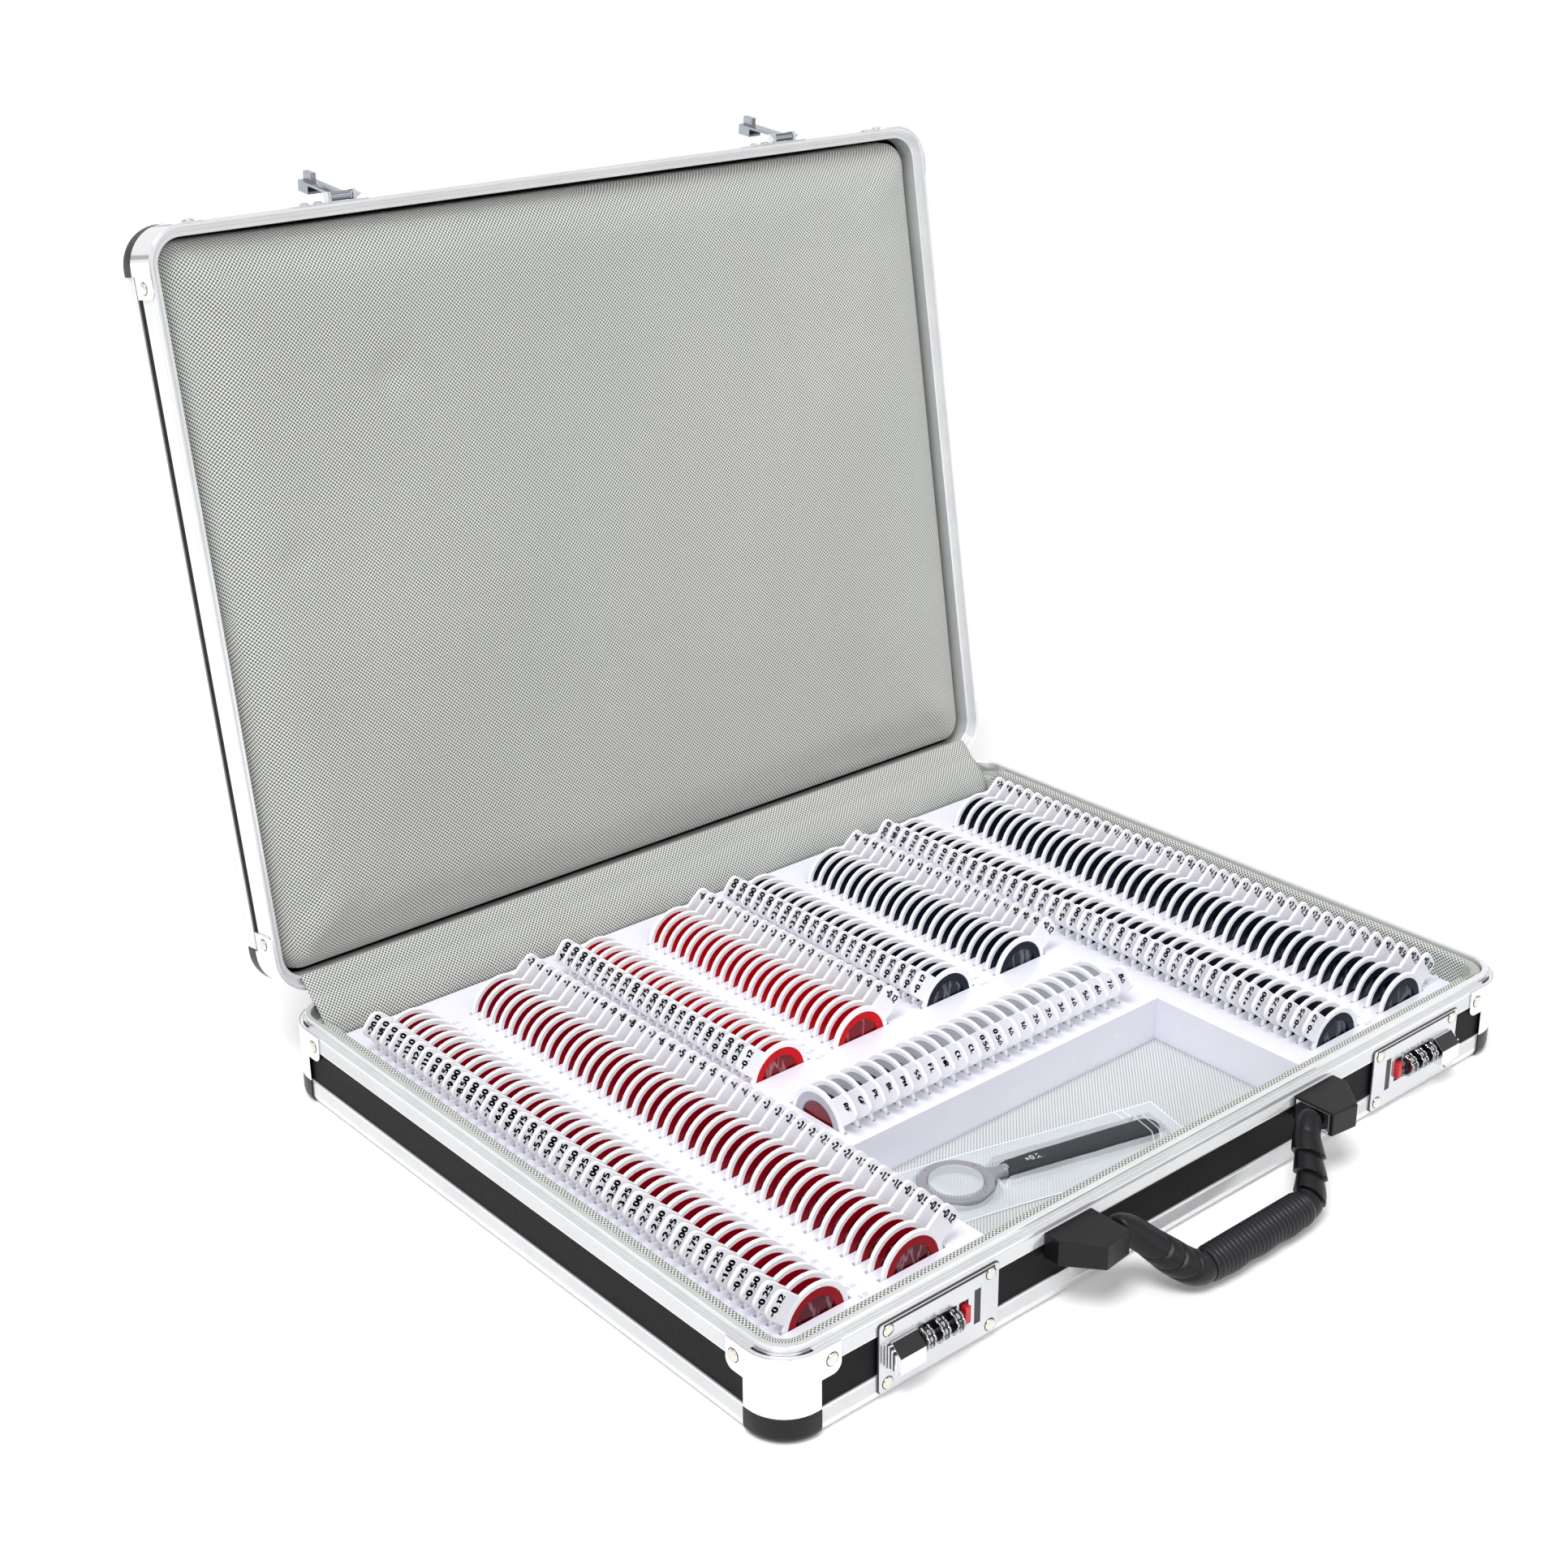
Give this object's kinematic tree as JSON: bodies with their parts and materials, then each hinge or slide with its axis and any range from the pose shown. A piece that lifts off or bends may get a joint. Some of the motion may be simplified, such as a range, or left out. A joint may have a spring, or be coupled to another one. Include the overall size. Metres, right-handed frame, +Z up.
{
  "type": "trial lens set",
  "caption": "Optician's trial lens set: open aluminium-framed case with a slotted tray of tabbed trial lenses in red, black and white rims, a bagged flip lens, locks and carrying handle.",
  "frame": {"origin": "middle of the underside of the case base, on the surface it stands on", "axes": "+X to the right along the lock side, +Y from the locks to the hinge, +Z up"},
  "size_m": [0.5244, 0.556, 0.4579],
  "materials": {
    "panel_laminate": "fine pebbled black panel laminate",
    "aluminium_trim": "satin extruded aluminium with fine lengthwise ribs",
    "corner_chrome": "bright nickel plated sheet",
    "black_plastic": "moulded black plastic with a light sheen",
    "rivet_metal": "cream plated domed rivet",
    "lining_cloth": "light grey woven lining with small dark dots",
    "floor_cloth": "grey green ribbed cloth",
    "tray_plastic": "white vacuum formed plastic with a lavender tint",
    "lock_steel": "satin chrome lock plate",
    "dial_steel": "brushed dial drums with engraved numbers",
    "pin_steel": "plain steel pin",
    "lever_plastic": "red moulded plastic",
    "grip_rubber": "ribbed soft black grip",
    "holder_plastic": "white moulded lens rim with printed power",
    "sphere_minus_ring": "dark red ring and clear glass",
    "cylinder_minus_ring": "bright red ring and clear glass",
    "plus_ring": "navy black ring and clear glass",
    "accessory_ring": "grey ring and clear or tinted glass",
    "flip_metal": "dark plated ring and handle",
    "clear_glass": "clear lens glass",
    "bag_film": "thin clear film bag"
  },
  "bodies": {
    "case_base": {"base_floor_panel": "panel_laminate", "base_side_panels": "panel_laminate", "base_rim_frame": "aluminium_trim", "base_foot_frame": "aluminium_trim", "base_corner_covers": "corner_chrome", "base_corner_caps": "black_plastic", "base_rivets": "rivet_metal", "base_liner": "lining_cloth", "lens_tray": "tray_plastic", "compartment_floor": "floor_cloth", "left_lock_plate": "lock_steel", "right_lock_plate": "lock_steel", "lock_rivets": "rivet_metal", "left_dial_axle": "pin_steel", "right_dial_axle": "pin_steel", "left_handle_bracket": "black_plastic", "right_handle_bracket": "black_plastic", "bracket_plates": "corner_chrome", "hinge_base_leaf": "aluminium_trim", "hinge_pin": "pin_steel", "hinge_flap": "lining_cloth"},
    "lid": {"lid_top_panel": "panel_laminate", "lid_side_panels": "panel_laminate", "lid_rim_frame": "aluminium_trim", "lid_edge_frame": "aluminium_trim", "lid_corner_covers": "corner_chrome", "lid_corner_caps": "black_plastic", "lid_rivets": "rivet_metal", "lid_pad": "lining_cloth", "hinge_lid_leaf": "aluminium_trim", "hasp_mounts": "lock_steel"},
    "left_hasp": {"left_hasp": "corner_chrome"},
    "right_hasp": {"right_hasp": "corner_chrome"},
    "handle": {"handle_left_arm": "black_plastic", "handle_right_arm": "black_plastic", "handle_grip": "grip_rubber", "handle_pins": "pin_steel"},
    "left_lock_button": {"left_lock_button": "corner_chrome"},
    "right_lock_button": {"right_lock_button": "corner_chrome"},
    "left_dial_1": {"left_dial_1": "dial_steel"},
    "left_dial_2": {"left_dial_2": "dial_steel"},
    "left_dial_3": {"left_dial_3": "dial_steel"},
    "right_dial_1": {"right_dial_1": "dial_steel"},
    "right_dial_2": {"right_dial_2": "dial_steel"},
    "right_dial_3": {"right_dial_3": "dial_steel"},
    "left_reset_lever": {"left_reset_lever": "lever_plastic"},
    "right_reset_lever": {"right_reset_lever": "lever_plastic"},
    "minus_spheres": {"minus_sphere_holders": "holder_plastic", "minus_sphere_lenses": "sphere_minus_ring"},
    "minus_cylinders": {"minus_cylinder_holders": "holder_plastic", "minus_cylinder_lenses": "cylinder_minus_ring"},
    "plus_cylinders": {"plus_cylinder_holders": "holder_plastic", "plus_cylinder_lenses": "plus_ring"},
    "plus_spheres": {"plus_sphere_holders": "holder_plastic", "plus_sphere_lenses": "plus_ring"},
    "accessories": {"accessory_holders": "holder_plastic", "accessory_lenses": "accessory_ring"},
    "flip_lens_packet": {"cross_cylinder": "flip_metal", "cross_cylinder_lens": "clear_glass", "lens_bag": "bag_film"}
  },
  "joints": [
    {"name": "lid_hinge", "type": "hinge", "parent": "case_base", "child": "lid", "pos_m": [0, 0.204, 0.0472], "axis": [1, 0, 0], "range_deg": [0, 99.3], "deforming": ["hinge_flap"]},
    {"name": "left_hasp_hinge", "type": "hinge", "parent": "lid", "child": "left_hasp", "pos_m": [-0.146, 0.27408, 0.44855], "axis": [1, 0, 0], "range_deg": [0, 165]},
    {"name": "right_hasp_hinge", "type": "hinge", "parent": "lid", "child": "right_hasp", "pos_m": [0.154, 0.27408, 0.44855], "axis": [1, 0, 0], "range_deg": [0, 165]},
    {"name": "handle_hinge", "type": "hinge", "parent": "case_base", "child": "handle", "pos_m": [0.002, -0.214, 0.033], "axis": [-1, 0, 0], "range_deg": [0, 134]},
    {"name": "left_button_slide", "type": "slide", "parent": "case_base", "child": "left_lock_button", "axis": [-1, 0, 0], "range_m": [0, 0.005], "stiffness_N_per_m": 300},
    {"name": "right_button_slide", "type": "slide", "parent": "case_base", "child": "right_lock_button", "axis": [1, 0, 0], "range_m": [0, 0.005], "stiffness_N_per_m": 300},
    {"name": "left_dial_1_turn", "type": "hinge", "parent": "case_base", "child": "left_dial_1", "pos_m": [-0.1793, -0.2017, 0.0215], "axis": [1, 0, 0], "continuous": true},
    {"name": "left_dial_2_turn", "type": "hinge", "parent": "case_base", "child": "left_dial_2", "pos_m": [-0.1705, -0.2017, 0.0215], "axis": [1, 0, 0], "continuous": true},
    {"name": "left_dial_3_turn", "type": "hinge", "parent": "case_base", "child": "left_dial_3", "pos_m": [-0.1617, -0.2017, 0.0215], "axis": [1, 0, 0], "continuous": true},
    {"name": "right_dial_1_turn", "type": "hinge", "parent": "case_base", "child": "right_dial_1", "pos_m": [0.1873, -0.2017, 0.0215], "axis": [1, 0, 0], "continuous": true},
    {"name": "right_dial_2_turn", "type": "hinge", "parent": "case_base", "child": "right_dial_2", "pos_m": [0.1785, -0.2017, 0.0215], "axis": [1, 0, 0], "continuous": true},
    {"name": "right_dial_3_turn", "type": "hinge", "parent": "case_base", "child": "right_dial_3", "pos_m": [0.1697, -0.2017, 0.0215], "axis": [1, 0, 0], "continuous": true},
    {"name": "left_lever_slide", "type": "slide", "parent": "case_base", "child": "left_reset_lever", "axis": [0, 0, 1], "range_m": [0, 0.0018]},
    {"name": "right_lever_slide", "type": "slide", "parent": "case_base", "child": "right_reset_lever", "axis": [0, 0, 1], "range_m": [0, 0.0018]},
    {"name": "minus_spheres_lift", "type": "slide", "parent": "case_base", "child": "minus_spheres", "axis": [0, 0, -1], "range_m": [-0.06, 0]},
    {"name": "minus_cylinders_lift", "type": "slide", "parent": "case_base", "child": "minus_cylinders", "axis": [0, 0, -1], "range_m": [-0.06, 0]},
    {"name": "plus_cylinders_lift", "type": "slide", "parent": "case_base", "child": "plus_cylinders", "axis": [0, 0, -1], "range_m": [-0.06, 0]},
    {"name": "plus_spheres_lift", "type": "slide", "parent": "case_base", "child": "plus_spheres", "axis": [0, 0, -1], "range_m": [-0.06, 0]},
    {"name": "accessories_lift", "type": "slide", "parent": "case_base", "child": "accessories", "axis": [0, 0, -1], "range_m": [-0.06, 0]},
    {"name": "flip_lens_packet_lift", "type": "slide", "parent": "case_base", "child": "flip_lens_packet", "axis": [0, 0, -1], "range_m": [-0.06, 0]}
  ]
}
